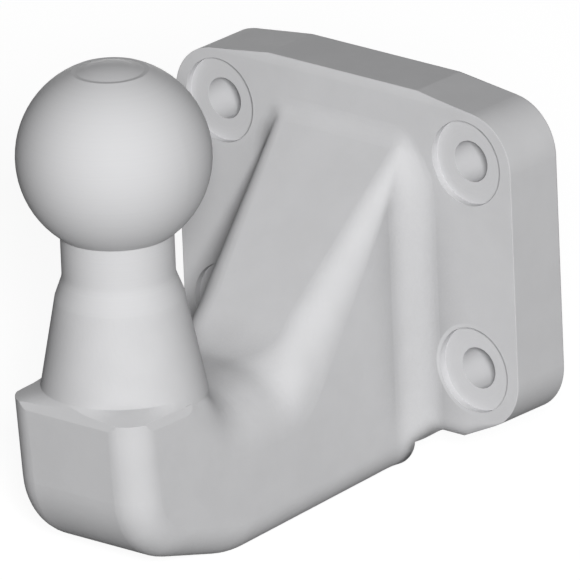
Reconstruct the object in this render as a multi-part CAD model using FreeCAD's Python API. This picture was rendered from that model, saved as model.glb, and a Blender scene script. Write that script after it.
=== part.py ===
import FreeCAD, Part
import math
import os

# Flange tow ball: a coupling ball, its neck, the cranked arm and the four-hole flange,
# all one steel forging. The flange's back face lies in the XZ plane with the centre of
# the hole pattern at the origin, the ball stands towards -Y and +Z is up.

Vector = FreeCAD.Vector
tolerance = 0.01

# Coupling ball and neck
ball_diameter = 50.0
ball_cap_diameter = 17.4
ball_cap_rise = 1.5
cap_ring_width = 1.2
ball_reach = 105.2
ball_height = 47.5
neck_diameter = 29.0
neck_length = 31.6
neck_step = 5.3
neck_blend_radius = 4.0
foot_top_diameter = 33.0
foot_inset = 0.52

# Bolt holes and spot faces
hole_spacing_x = 83.0
hole_spacing_z = 56.0
hole_diameter = 11.0
spot_face_diameter = 22.6
spot_face_depth = 2.0

# Flange
flange_thickness = 18.0
flange_side_margin = 14.8
flange_top_margin = 16.1
flange_top_width = 50.0
flange_top_fall = 6.9
flange_bottom_margin = 18.6
flange_bottom_width = 75.0
flange_bottom_rise = 24.5
flange_corner_radius = 14.0
flange_lip_height = 2.9
flange_lip_depth = 0.9

# Arm
arm_width = 44.0
arm_root_radius = 8.5
arm_edge_radius = 8.5
ramp_top = 30.3
ramp_angle = 46.1
ramp_root_inset = 3.5
ramp_taper = 9.7
saddle_drop = 3.1
saddle_radius = 10.8
saddle_width = 5.0
shoulder_root = 2.8
shoulder_angle = 55.9
shoulder_drop = 19.5
shoulder_radius = 16.0
shoulder_run = 18.4
shoulder_fullness = 0.6
gather_start = 25.2
gather_end = 4.2
underside_root = -58.1
underside_rise = 3.3
heel_setback = 3.4
heel_height = 3.7
heel_bulge = 0.75
station_count = 16

# Nose under the neck
nose_top = -15.5
nose_lead = 0.1
nose_overlap = 1.8
nose_draft = 4.4
nose_bottom_radius = 21.0
nose_rim = 0.3
chin_rise = 15.0
belly_setback = 17.7
belly_radius = 30.0
collar_height = 2.3
collar_inset = 0.1
lip_height = 2.5
lip_angle = 11.5


def tangent(angle):
    return math.tan(math.radians(angle))


def polygon_face(points):
    return Part.Face(Part.makePolygon(points + points[:1]))


def in_line(value, wanted):
    return abs(value - wanted) < tolerance


def smooth_share(y, start, end):
    # Goes smoothly from 0 at the start to 1 at the end.
    share = min(1.0, max(0.0, (y - start) / (end - start)))
    return share * share * (3 - 2 * share)


half_width = arm_width / 2
root_y = -flange_thickness
axis_y = -ball_reach
nose_front_y = axis_y - half_width - nose_lead
nose_back_y = axis_y - nose_overlap
saddle_z = nose_top - saddle_drop
shoulder_z = nose_top - shoulder_drop
foot_low_radius = half_width - foot_inset
deep = underside_root - arm_width

# Flange: outline with sloping shoulders and rounded corners
half_flange = hole_spacing_x / 2 + flange_side_margin
half_top = flange_top_width / 2
half_bottom = flange_bottom_width / 2
flange_top = hole_spacing_z / 2 + flange_top_margin
flange_bottom = -hole_spacing_z / 2 - flange_bottom_margin
side_top = flange_top - (half_flange - half_top) * tangent(flange_top_fall)
side_bottom = flange_bottom + (half_flange - half_bottom) * tangent(flange_bottom_rise)
outline = [
    Vector(-half_top, 0, flange_top),
    Vector(half_top, 0, flange_top),
    Vector(half_flange, 0, side_top),
    Vector(half_flange, 0, side_bottom),
    Vector(half_bottom, 0, flange_bottom),
    Vector(-half_bottom, 0, flange_bottom),
    Vector(-half_flange, 0, side_bottom),
    Vector(-half_flange, 0, side_top),
]
flange = polygon_face(outline).extrude(Vector(0, -flange_thickness, 0))
corner_edges = []
for edge in flange.Edges:
    box = edge.BoundBox
    along_y = box.YLength > flange_thickness / 2
    if along_y and in_line(abs(box.XMax), half_flange):
        corner_edges.append(edge)
flange = flange.makeFillet(flange_corner_radius, corner_edges)

# The flange's upper front edge falls back in a shallow arc
ease_radius = (flange_lip_height ** 2 + flange_lip_depth ** 2) / (2 * flange_lip_depth)
ease_half = math.asin(flange_lip_height / ease_radius) / 2
ease_low = Vector(-half_flange, root_y, flange_top - flange_lip_height)
ease_middle = ease_low + Vector(
    0, ease_radius * (1 - math.cos(ease_half)), ease_radius * math.sin(ease_half)
)
ease_high = ease_low + Vector(0, flange_lip_depth, flange_lip_height)
ease_wire = Part.Wire([
    Part.Arc(ease_low, ease_middle, ease_high).toShape(),
    Part.makePolygon([
        ease_high,
        ease_high + Vector(0, 0, flange_lip_height),
        ease_low + Vector(0, -flange_lip_depth, 2 * flange_lip_height),
        ease_low + Vector(0, -flange_lip_depth, 0),
        ease_low,
    ]),
])
flange = flange.cut(Part.Face(ease_wire).extrude(Vector(2 * half_flange, 0, 0)))

# Arm: the ramp from the flange runs out onto a low saddle behind the neck, its shoulders
# fall away to the sides and gather up again round the foot of the neck
ramp_run = (ramp_top - saddle_z) / tangent(ramp_angle)
bend_run = saddle_radius * tangent(ramp_angle / 2)
bend_high_y = root_y - ramp_run + bend_run * math.cos(math.radians(ramp_angle))
bend_low_y = root_y - ramp_run - bend_run


def blended_line(y, line_z, angle, floor, radius):
    # Height of a line falling from the flange that runs out through an arc onto a floor.
    foot_y = root_y - (line_z - floor) / tangent(angle)
    run = radius * tangent(angle / 2)
    if y <= foot_y - run:
        return floor
    if y >= foot_y + run * math.cos(math.radians(angle)):
        return line_z + (y - root_y) * tangent(angle)
    return floor + radius - math.sqrt(radius ** 2 - (y - foot_y + run) ** 2)


def shoulder_curve(side, corner, top):
    curve = Part.BezierCurve()
    side_handle = side + (corner - side) * shoulder_fullness
    top_handle = top + (corner - top) * shoulder_fullness
    curve.setPoles([side, side_handle, top_handle, top])
    return curve.toShape()


def arm_section(y):
    narrow = smooth_share(y, bend_high_y, bend_low_y)
    broad = smooth_share(y, axis_y + gather_start, axis_y + gather_end)
    climb = max(0.0, (nose_back_y + shoulder_run - y) / shoulder_run) ** 2
    top = blended_line(y, ramp_top, ramp_angle, saddle_z, saddle_radius)
    top += saddle_drop * broad
    side_line = ramp_top - shoulder_root
    side = blended_line(y, side_line, shoulder_angle, shoulder_z, shoulder_radius)
    side += (shoulder_drop - nose_rim) * climb
    side = min(side, top - nose_rim)
    flat = half_width - ramp_root_inset + (y - root_y) * tangent(ramp_taper)
    flat += (saddle_width / 2 - flat) * narrow
    flat += (half_width - nose_rim - flat) * broad
    behind_axis = max(0.0, y - axis_y)
    if behind_axis < half_width / 2:
        foot_half = math.sqrt(foot_low_radius ** 2 - behind_axis ** 2)
        flat = min(flat, foot_half - nose_rim)
    right_foot = Vector(half_width, y, deep)
    right_side = Vector(half_width, y, side)
    right_top = Vector(flat, y, top)
    left_top = Vector(-flat, y, top)
    left_side = Vector(-half_width, y, side)
    left_foot = Vector(-half_width, y, deep)
    return Part.Wire([
        Part.makeLine(left_foot, right_foot),
        Part.makeLine(right_foot, right_side),
        shoulder_curve(right_side, Vector(half_width, y, top), right_top),
        Part.makeLine(right_top, left_top),
        shoulder_curve(left_side, Vector(-half_width, y, top), left_top),
        Part.makeLine(left_side, left_foot),
    ])


arm_start_y = root_y + flange_lip_height
sections = []
for station in range(station_count + 1):
    share = station / station_count
    sections.append(arm_section(arm_start_y + (nose_back_y - arm_start_y) * share))
arm = Part.makeLoft(sections, True, False)
skirt = Part.makeBox(
    flange_bottom_width, flange_thickness, -deep, Vector(-half_bottom, root_y, deep)
)
nose = Part.makeBox(
    arm_width, nose_back_y - nose_front_y, nose_top - deep, Vector(-half_width, nose_front_y, deep)
)
body = flange.fuse([skirt, arm, nose]).removeSplitter()

# Concave root where the arm grows out of the flange
root_edges = []
for edge in body.Edges:
    box = edge.BoundBox
    in_front_plane = in_line(box.YMin, root_y) and in_line(box.YMax, root_y)
    across_arm = max(-box.XMin, box.XMax) < half_width + tolerance
    beside_arm = deep + tolerance < box.ZMax < ramp_top + tolerance
    if in_front_plane and across_arm and beside_arm:
        root_edges.append(edge)
body = body.makeFillet(arm_root_radius, root_edges)

# Underside, chin and drafted front of the nose, cut as one side profile
far = 2 * half_flange
draft = tangent(nose_draft)
chin = tangent(chin_rise)
fall = tangent(underside_rise)
belly_y = axis_y + belly_setback
belly_z = underside_root + (belly_y - root_y) * fall
chin_y = (nose_front_y + (nose_top - belly_z - belly_y * chin) * draft) / (1 - chin * draft)
chin_z = belly_z + (belly_y - chin_y) * chin
profile = [
    Vector(-far, nose_front_y - far * draft, nose_top + far),
    Vector(-far, chin_y, chin_z),
    Vector(-far, belly_y, belly_z),
    Vector(-far, flange_thickness, underside_root + (flange_thickness - root_y) * fall),
    Vector(-far, flange_thickness, deep - far),
    Vector(-far, nose_front_y - far, deep - far),
    Vector(-far, nose_front_y - far, nose_top + far),
]
below = polygon_face(profile).extrude(Vector(2 * far, 0, 0))


def cross_edges(shape, y, z):
    found = []
    for edge in shape.Edges:
        box = edge.BoundBox
        if box.XLength > far and in_line(box.YMin, y) and in_line(box.ZMin, z):
            found.append(edge)
    return found


below = below.makeFillet(nose_bottom_radius, cross_edges(below, chin_y, chin_z))
below = below.makeFillet(belly_radius, cross_edges(below, belly_y, belly_z))
body = body.cut(below)

# Rounded edges down the nose corners, along the underside and out along the flange root
round_edges = []
for edge in body.Edges:
    box = edge.BoundBox
    on_side = in_line(abs(box.XMin), half_width) and box.XLength < tolerance
    low = box.ZMin < nose_top - arm_edge_radius
    middle = edge.valueAt((edge.FirstParameter + edge.LastParameter) / 2)
    in_front = middle.y < chin_y + nose_bottom_radius / 2
    underneath = middle.z < shoulder_z - arm_edge_radius
    if on_side and low and (in_front or underneath):
        round_edges.append(edge)
body = body.makeFillet(arm_edge_radius, round_edges)

# Heel: the arm stops short below the flange and rounds up to the flange's lower edge
heel_high = Vector(-far, root_y, flange_bottom)
heel_low = Vector(-far, root_y - heel_setback, flange_bottom - heel_height)
heel_out = Vector(0, heel_height, -heel_setback).normalize()
heel_middle = (heel_high + heel_low) * 0.5 + heel_out * heel_bulge
heel_wire = Part.Wire([
    Part.Arc(heel_low, heel_middle, heel_high).toShape(),
    Part.makePolygon([
        heel_high,
        Vector(-far, flange_thickness, flange_bottom),
        Vector(-far, flange_thickness, deep),
        Vector(-far, heel_low.y, deep),
        heel_low,
    ]),
])
body = body.cut(Part.Face(heel_wire).extrude(Vector(2 * far, 0, 0)))

# Bolt holes through the flange, each with a round spot face for the bolt head
toward_front = Vector(0, -1, 0)
for x_side in (-1, 1):
    for z_side in (-1, 1):
        x = x_side * hole_spacing_x / 2
        z = z_side * hole_spacing_z / 2
        hole_start = Vector(x, flange_thickness, z)
        spot_start = Vector(x, root_y + spot_face_depth, z)
        hole = Part.makeCylinder(hole_diameter / 2, far, hole_start, toward_front)
        spot = Part.makeCylinder(spot_face_diameter / 2, far, spot_start, toward_front)
        body = body.cut(hole.fuse(spot))

# Ball, neck and tapered foot, turned about the ball's upright axis
ball_radius = ball_diameter / 2
neck_radius = neck_diameter / 2
cap_radius = ball_cap_diameter / 2
ring_radius = cap_radius + cap_ring_width
ring_z = math.sqrt(ball_radius ** 2 - ring_radius ** 2)
cap_top = ring_z + ball_cap_rise
cap_curve = (cap_radius ** 2 + ball_cap_rise ** 2) / (2 * ball_cap_rise)
cap_half = math.asin(cap_radius / cap_curve) / 2
cap_middle = Vector(
    cap_curve * math.sin(cap_half), 0, cap_top - cap_curve * (1 - math.cos(cap_half))
)
cap_edge = Vector(cap_radius, 0, ring_z)
ring_edge = Vector(ring_radius, 0, ring_z)
neck_z = -math.sqrt(ball_radius ** 2 - neck_radius ** 2)
neck_top = Vector(neck_radius, 0, neck_z)
step_z = -neck_length - neck_step
foot_z = nose_top - ball_height
foot_radius = foot_top_diameter / 2
sunk_z = shoulder_z - ball_height
turned_wire = Part.Wire([
    Part.makePolygon([
        neck_top,
        Vector(neck_radius, 0, -neck_length),
        Vector(foot_radius, 0, step_z),
        Vector(foot_low_radius, 0, foot_z),
        Vector(foot_low_radius, 0, sunk_z),
        Vector(0, 0, sunk_z),
        Vector(0, 0, cap_top),
    ]),
    Part.Arc(Vector(0, 0, cap_top), cap_middle, cap_edge).toShape(),
    Part.makeLine(cap_edge, ring_edge),
    Part.Arc(ring_edge, Vector(ball_radius, 0, 0), neck_top).toShape(),
])
turned = Part.Face(turned_wire).revolve(Vector(0, 0, 0), Vector(0, 0, 1), 360)
step_edges = []
for edge in turned.Edges:
    box = edge.BoundBox
    at_step = in_line(box.ZMin, -neck_length) or in_line(box.ZMin, step_z)
    if at_step and box.ZLength < tolerance:
        step_edges.append(edge)
turned = turned.makeFillet(neck_blend_radius, step_edges)
turned.translate(Vector(0, axis_y, ball_height))
front_half = Part.makeBox(2 * far, far, far, Vector(-far, axis_y - far, nose_top - far))
turned = turned.cut(front_half)

# Collar: falls from the round foot to the squared outline of the nose
foot_slope = (foot_low_radius - foot_radius) / (step_z - foot_z)
collar_radius = foot_low_radius - collar_height * foot_slope
front_gap = nose_front_y - axis_y + collar_inset
rim_half = half_width - collar_inset
diagonal = math.sqrt(0.5)
round_offset = arm_edge_radius * diagonal
rear = Vector(0, foot_low_radius, 0)
rear_middle = Vector(foot_low_radius * diagonal, foot_low_radius * diagonal, 0)
side = Vector(foot_low_radius, 0, 0)
corner_side = Vector(rim_half, front_gap + arm_edge_radius, 0)
corner_front = Vector(rim_half - arm_edge_radius, front_gap, 0)
corner_middle = Vector(corner_front.x + round_offset, corner_side.y - round_offset, 0)


def mirrored(point):
    return Vector(-point.x, point.y, 0)


def at_collar(point):
    on_circle = point * (collar_radius / point.Length)
    return Vector(on_circle.x, on_circle.y, collar_height)


rim_parts = [
    (rear, mirrored(rear_middle), mirrored(side)),
    (mirrored(side), None, mirrored(corner_side)),
    (mirrored(corner_side), mirrored(corner_middle), mirrored(corner_front)),
    (mirrored(corner_front), None, corner_front),
    (corner_front, corner_middle, corner_side),
    (corner_side, None, side),
    (side, rear_middle, rear),
]
rim_edges = []
circle_edges = []
for start, middle, end in rim_parts:
    if middle:
        rim_edges.append(Part.Arc(start, middle, end).toShape())
    else:
        rim_edges.append(Part.makeLine(start, end))
    circle_edges.append(Part.Arc(at_collar(start), at_collar(start + end), at_collar(end)).toShape())
collar = Part.makeLoft([Part.Wire(rim_edges), Part.Wire(circle_edges)], True, True)
collar.translate(Vector(0, axis_y, nose_top))
whole = body.fuse([turned, collar]).removeSplitter()

# Forged lip across the top of the nose's front face
lip_low = Vector(-far, nose_front_y, nose_top - lip_height)
lip_rise = lip_height + collar_height
lip_high = lip_low + Vector(0, lip_rise * tangent(lip_angle), lip_rise)
lip = polygon_face([
    lip_low,
    lip_high,
    Vector(-far, nose_front_y - far, lip_high.z),
    Vector(-far, nose_front_y - far, lip_low.z),
])
whole = whole.cut(lip.extrude(Vector(2 * far, 0, 0)))

# The nose's sides lean in under the collar, clear of the foot's cone
lean_y = axis_y + gather_end
lean_top = nose_top + collar_height
lean_low = nose_top - (foot_inset - collar_inset) / foot_slope
lean = polygon_face([
    Vector(half_width, lean_y, lean_low),
    Vector(collar_radius + collar_inset, lean_y, lean_top),
    Vector(far, lean_y, lean_top),
    Vector(far, lean_y, lean_low),
])
right_lean = lean.extrude(Vector(0, nose_front_y - lean_y - arm_width, 0))
left_lean = right_lean.mirror(Vector(0, 0, 0), Vector(1, 0, 0))
flange_tow_ball = whole.cut([right_lean, left_lean])

os.makedirs("parts", exist_ok=True)
flange_tow_ball.exportStep("parts/flange_tow_ball.step")
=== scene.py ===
import math

import bpy
from mathutils import Matrix, Vector


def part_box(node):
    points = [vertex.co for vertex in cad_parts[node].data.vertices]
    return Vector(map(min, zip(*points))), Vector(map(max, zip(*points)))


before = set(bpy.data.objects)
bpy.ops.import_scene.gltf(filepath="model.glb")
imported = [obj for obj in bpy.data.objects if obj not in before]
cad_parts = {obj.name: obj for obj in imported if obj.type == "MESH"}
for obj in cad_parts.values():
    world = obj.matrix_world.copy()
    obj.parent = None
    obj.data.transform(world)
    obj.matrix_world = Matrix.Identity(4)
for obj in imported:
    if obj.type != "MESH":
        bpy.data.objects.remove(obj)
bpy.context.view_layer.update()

scene = bpy.context.scene

# Flange tow ball
# One steel forging, dropped in closed dies, then turned on the ball and neck, drilled and
# spot-faced on the flange and milled flat on its back. A thin light grey coat covers all of
# it, so the die skin shows as a fine grain while the turned and milled faces stay smoother.
tow_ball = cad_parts["flange_tow_ball"]
tow_ball_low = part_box("flange_tow_ball")[0]

# Places on the forging, in millimetres
ball_axis_y = -105.2
foot_radius = 21.5
foot_low = -13.0
step_low = 9.0
step_high = 17.5
step_fade = 2.0
turned_low = 10.6
turned_fade = 1.0
turned_front = -75.0
hole_x = 41.5
hole_z = 28.0
spot_face_radius = 11.4
rim_inner = 0.8
rim_outer = 1.2
milled_back = -0.2
heel_top = -40.0
heel_front = -32.0
heel_fade = 4.0

# Marks to the millimetre, their depth in millimetres, and the span of heights in which they show
skin_scale = 1.1
skin_depth = 0.025
patch_scale = 0.09
patch_depth = 0.06
ring_scale = 1.8
ring_depth = 0.01
mark_low = 0.3
mark_high = 0.7
worn_low = 0.4
worn_high = 0.6

# Rounded edges, thin coat at the edges and reach of the shade painted into the hollows, in metres
die_radius = 0.0003
heel_radius = 0.005
spot_rim_radius = 0.0001
step_radius = 0.0015
thin_coat_width = 0.0006
painted_shade_reach = 0.03
millimetre = 0.001

# Colours and shares of the coat's finish, and of the shade painted into its hollows
coat_grey = (0.62, 0.62, 0.63, 1)
worn_grey = (0.70, 0.70, 0.70, 1)
# Darker grey, used for the coat's random mottle and for the shade painted into the hollows
mottle_and_painted_shade_grey = (0.30, 0.30, 0.305, 1)
coat_gloss = 0.04
skin_uneven = 0.06
cut_uneven = 0.02
least_wear = 0.05
most_wear = 0.3
most_painted_shade = 0.95
skin_rough_low = 0.68
skin_rough_high = 0.8
cut_rough_low = 0.62
cut_rough_high = 0.7

# Cosines of the turn at a sharp and a slight edge, and of the widest seam to even out
sharp_turn = 0.8
slight_turn = 0.97
seam_turn = 0.99

# Openness to the air, from deep hollows, where the painted shade is darkest, to bare edges and open
# faces, where it ends
hollow_open = 0.45
unshaded_open = 0.92
hidden_edge_open = 0.7
bare_edge_open = 0.95

coat = bpy.data.materials.new("coated_steel")
coat.use_nodes = True
nodes = coat.node_tree.nodes
links = coat.node_tree.links
shader = nodes["Principled BSDF"]
shader.inputs["Specular IOR Level"].default_value = coat_gloss

# Places of the Mix node's two inputs and its result for each kind of value
mix_sockets = {"FLOAT": (2, 3, 0), "VECTOR": (4, 5, 1), "RGBA": (6, 7, 2)}


def plug(socket, value):
    if isinstance(value, bpy.types.NodeSocket):
        links.new(value, socket)
    else:
        socket.default_value = value


def math_node(operation, first, second=0.0):
    node = nodes.new("ShaderNodeMath")
    node.operation = operation
    plug(node.inputs[0], first)
    plug(node.inputs[1], second)
    return node.outputs["Value"]


def vector_node(operation, first, second=None):
    node = nodes.new("ShaderNodeVectorMath")
    node.operation = operation
    links.new(first, node.inputs[0])
    if second is not None:
        plug(node.inputs["Scale"] if operation == "SCALE" else node.inputs[1], second)
    return node.outputs["Value" if operation in ("LENGTH", "DOT_PRODUCT") else "Vector"]


def vector_of(first, second, third):
    node = nodes.new("ShaderNodeCombineXYZ")
    plug(node.inputs["X"], first)
    plug(node.inputs["Y"], second)
    plug(node.inputs["Z"], third)
    return node.outputs["Vector"]


def axes_of(vector):
    node = nodes.new("ShaderNodeSeparateXYZ")
    links.new(vector, node.inputs["Vector"])
    return node.outputs["X"], node.outputs["Y"], node.outputs["Z"]


def spread(value, low, high, at_low, at_high):
    node = nodes.new("ShaderNodeMapRange")
    node.interpolation_type = "SMOOTHSTEP"
    plug(node.inputs["Value"], value)
    plug(node.inputs["From Min"], low)
    plug(node.inputs["From Max"], high)
    plug(node.inputs["To Min"], at_low)
    plug(node.inputs["To Max"], at_high)
    return node.outputs["Result"]


def mix(kind, share, first, second):
    node = nodes.new("ShaderNodeMix")
    node.data_type = kind
    first_place, second_place, result_place = mix_sockets[kind]
    plug(node.inputs["Factor"], share)
    plug(node.inputs[first_place], first)
    plug(node.inputs[second_place], second)
    return node.outputs[result_place]


def grain(dimensions, place, scale, detail):
    node = nodes.new("ShaderNodeTexNoise")
    node.noise_dimensions = dimensions
    plug(node.inputs["W" if dimensions == "1D" else "Vector"], place)
    node.inputs["Scale"].default_value = scale
    node.inputs["Detail"].default_value = detail
    return node.outputs["Fac"]


def edge_normal(radius, samples):
    node = nodes.new("ShaderNodeBevel")
    node.samples = samples
    plug(node.inputs["Radius"], radius)
    return node.outputs["Normal"]


# Each point of the forging in millimetres
metres = nodes.new("ShaderNodeTexCoord")
place = vector_node("SCALE", metres.outputs["Object"], 1 / millimetre)
x, y, z = axes_of(place)

# Where the tools have cut: ball and neck, spot faces and holes, back face
before_arm = math_node("LESS_THAN", y, turned_front)
turned = math_node("MULTIPLY", spread(z, turned_low - turned_fade, turned_low, 0, 1), before_arm)
across_hole = math_node("SUBTRACT", math_node("ABSOLUTE", x), hole_x)
above_hole = math_node("SUBTRACT", math_node("ABSOLUTE", z), hole_z)
from_hole = vector_node("LENGTH", vector_of(across_hole, 0, above_hole))
spot_faced = math_node("LESS_THAN", from_hole, spot_face_radius)
back = math_node("GREATER_THAN", y, milled_back)
machined = math_node("MAXIMUM", math_node("MAXIMUM", turned, spot_faced), back)

# Die skin, gentle unevenness and tool rings
skin = grain("3D", place, skin_scale, detail=5)
patches = grain("3D", place, patch_scale, detail=3)
rings = grain("1D", mix("FLOAT", spot_faced, z, from_hole), ring_scale, detail=2)
skin_height = math_node("ADD", math_node("MULTIPLY", skin, skin_depth),
                        math_node("MULTIPLY", patches, patch_depth))
height = mix("FLOAT", machined, skin_height, math_node("MULTIPLY", rings, ring_depth))

# Edges rounded by the dies, widest where the heel runs out under the flange
heel = math_node("MULTIPLY", spread(z, heel_top - heel_fade, heel_top, 1, 0),
                 spread(y, heel_front - heel_fade, heel_front, 0, 1))
spot_rim = spread(from_hole, spot_face_radius + rim_inner, spot_face_radius + rim_outer, 1, 0)
step = math_node("MULTIPLY", spread(z, step_low - step_fade, step_low, 0, 1),
                 spread(z, step_high, step_high + step_fade, 1, 0))
step = math_node("MULTIPLY", step, before_arm)
edge_radius = mix("FLOAT", heel, die_radius, heel_radius)
edge_radius = mix("FLOAT", spot_rim, edge_radius, spot_rim_radius)
edge_radius = mix("FLOAT", step, edge_radius, step_radius)
softened = edge_normal(edge_radius, samples=8)

# The turned faces and the foot run round the ball's axis without a seam
outward = vector_of(x, math_node("SUBTRACT", y, ball_axis_y), 0)
from_axis = vector_node("LENGTH", outward)
upward = axes_of(softened)[2]
sideways = math_node("SQRT", math_node("SUBTRACT", 1.0, math_node("MULTIPLY", upward, upward)))
level = vector_node("SCALE", vector_node("NORMALIZE", outward), sideways)
round_normal = vector_node("ADD", level, vector_of(0, 0, upward))
close = math_node("GREATER_THAN", vector_node("DOT_PRODUCT", softened, round_normal), seam_turn)
near_axis = math_node("MULTIPLY", math_node("LESS_THAN", from_axis, foot_radius),
                      math_node("GREATER_THAN", z, foot_low))
seamless = mix("VECTOR", math_node("MULTIPLY", close, near_axis), softened, round_normal)
relief = nodes.new("ShaderNodeBump")
relief.inputs["Strength"].default_value = 1
relief.inputs["Distance"].default_value = millimetre
links.new(height, relief.inputs["Height"])
links.new(seamless, relief.inputs["Normal"])
links.new(relief.outputs["Normal"], shader.inputs["Normal"])

# Colour and gloss: uneven coat, thin on the edges, and painted shade that darkens the hollows
surface = nodes.new("ShaderNodeNewGeometry")
thin_coat = edge_normal(thin_coat_width, samples=6)
turn_at_edge = vector_node("DOT_PRODUCT", thin_coat, surface.outputs["Normal"])
hollow = nodes.new("ShaderNodeAmbientOcclusion")
hollow.samples = 8
hollow.only_local = True
hollow.inputs["Distance"].default_value = painted_shade_reach
openness = hollow.outputs["AO"]
edge = math_node("MULTIPLY", spread(turn_at_edge, sharp_turn, slight_turn, 1, 0),
                 spread(openness, hidden_edge_open, bare_edge_open, 0, 1))
wear = math_node("MULTIPLY", edge, spread(skin, worn_low, worn_high, least_wear, most_wear))
uneven = mix("FLOAT", machined, spread(patches, mark_low, mark_high, 0, skin_uneven),
             spread(rings, mark_low, mark_high, 0, cut_uneven))
# Painted shade: ambient occlusion darkens the base colour towards grey in hollows and creases,
# except at the spot-face rims
painted_shade = math_node("MULTIPLY", spread(openness, hollow_open, unshaded_open, most_painted_shade, 0),
                 math_node("SUBTRACT", 1.0, spot_rim))
coat_colour = mix("RGBA", uneven, coat_grey, mottle_and_painted_shade_grey)
coat_colour = mix("RGBA", painted_shade, coat_colour, mottle_and_painted_shade_grey)
coat_colour = mix("RGBA", wear, coat_colour, worn_grey)
links.new(coat_colour, shader.inputs["Base Color"])
skin_rough = spread(skin, mark_low, mark_high, skin_rough_low, skin_rough_high)
cut_rough = spread(rings, mark_low, mark_high, cut_rough_low, cut_rough_high)
links.new(mix("FLOAT", machined, skin_rough, cut_rough), shader.inputs["Roughness"])
tow_ball.data.materials.clear()
tow_ball.data.materials.append(coat)

# Floor
# Plain pale studio floor under the part, white to the camera and in reflections, which
# keeps the part's soft shadow.
floor_size = 6.0
floor_grey = (0.2, 0.2, 0.2, 1)
floor_roughness = 0.9
floor_white = 0.92
white = (1, 1, 1, 1)
bpy.ops.mesh.primitive_plane_add(size=floor_size, location=(0, 0, tow_ball_low.z))
floor = bpy.context.object
floor.name = "floor"
pale = bpy.data.materials.new("pale_floor")
pale.use_nodes = True
floor_shader = pale.node_tree.nodes["Principled BSDF"]
floor_shader.inputs["Base Color"].default_value = floor_grey
floor_shader.inputs["Roughness"].default_value = floor_roughness
floor_shader.inputs["Specular IOR Level"].default_value = 0
floor_shader.inputs["Emission Color"].default_value = white


def white_to_seen_rays(tree, otherwise, seen):
    ray = tree.nodes.new("ShaderNodeLightPath")
    straight_or_mirrored = tree.nodes.new("ShaderNodeMath")
    straight_or_mirrored.operation = "MAXIMUM"
    tree.links.new(ray.outputs["Is Camera Ray"], straight_or_mirrored.inputs[0])
    tree.links.new(ray.outputs["Is Glossy Ray"], straight_or_mirrored.inputs[1])
    any_seen = tree.nodes.new("ShaderNodeMath")
    any_seen.operation = "MAXIMUM"
    tree.links.new(straight_or_mirrored.outputs["Value"], any_seen.inputs[0])
    tree.links.new(ray.outputs["Is Transmission Ray"], any_seen.inputs[1])
    strength = tree.nodes.new("ShaderNodeMapRange")
    tree.links.new(any_seen.outputs["Value"], strength.inputs["Value"])
    strength.inputs["To Min"].default_value = otherwise
    strength.inputs["To Max"].default_value = seen
    return strength.outputs["Result"]


floor_glow = white_to_seen_rays(pale.node_tree, otherwise=0, seen=floor_white)
pale.node_tree.links.new(floor_glow, floor_shader.inputs["Emission Strength"])
floor.data.materials.append(pale)

# Camera
# A long lens from the front right, a little above the part and rolled slightly. The centre
# of the hole pattern, taken in the flange's front, stands right of and above the middle.
view_azimuth = 41.71
view_elevation = 20.16
view_roll = math.radians(2.34)
picture_width = 0.1481
pattern_right = 0.0157
pattern_up = 0.01465
pattern_centre = Vector((0, -0.016, 0))
lens_length = 1650
view_depth = 100
camera_data = bpy.data.cameras.new("camera")
camera_data.lens = lens_length
camera_data.clip_end = view_depth
camera = bpy.data.objects.new("camera", camera_data)
scene.collection.objects.link(camera)


def toward(azimuth, elevation):
    across = math.radians(azimuth)
    up = math.radians(elevation)
    return Vector((math.sin(across) * math.cos(up), -math.cos(across) * math.cos(up), math.sin(up)))


toward_camera = toward(view_azimuth, view_elevation)
turn = toward_camera.to_track_quat("Z", "Y").to_matrix() @ Matrix.Rotation(-view_roll, 3, "Z")
aim = pattern_centre - turn.col[0] * pattern_right - turn.col[1] * pattern_up
camera_distance = picture_width * lens_length / camera_data.sensor_width
camera.matrix_world = Matrix.Translation(aim + toward_camera * camera_distance) @ turn.to_4x4()
scene.camera = camera

# Light
# One soft box near the camera, a little above and to the right of it, and a weaker low one
# behind the part for its back and left side, in a dim room that is white only where it is seen.
room_fill = 0.06
room_white = 1


def soft_box(name, azimuth, elevation, distance, width, height, energy):
    lamp = bpy.data.lights.new(name, "AREA")
    lamp.shape = "ELLIPSE"
    lamp.size = width
    lamp.size_y = height
    lamp.energy = energy
    box = bpy.data.objects.new(name, lamp)
    direction = toward(azimuth, elevation)
    box.location = aim + direction * distance
    box.rotation_euler = direction.to_track_quat("Z", "Y").to_euler()
    scene.collection.objects.link(box)


soft_box("key", azimuth=45, elevation=21.5, distance=3.0, width=0.5, height=0.5, energy=91)
soft_box("back", azimuth=222, elevation=2, distance=2.5, width=1.2, height=0.22, energy=24)

world = bpy.data.worlds.new("studio")
scene.world = world
world.use_nodes = True
room = world.node_tree.nodes["Background"]
room.inputs["Color"].default_value = white
room_glow = white_to_seen_rays(world.node_tree, otherwise=room_fill, seen=room_white)
world.node_tree.links.new(room_glow, room.inputs["Strength"])

scene.view_settings.view_transform = "Standard"
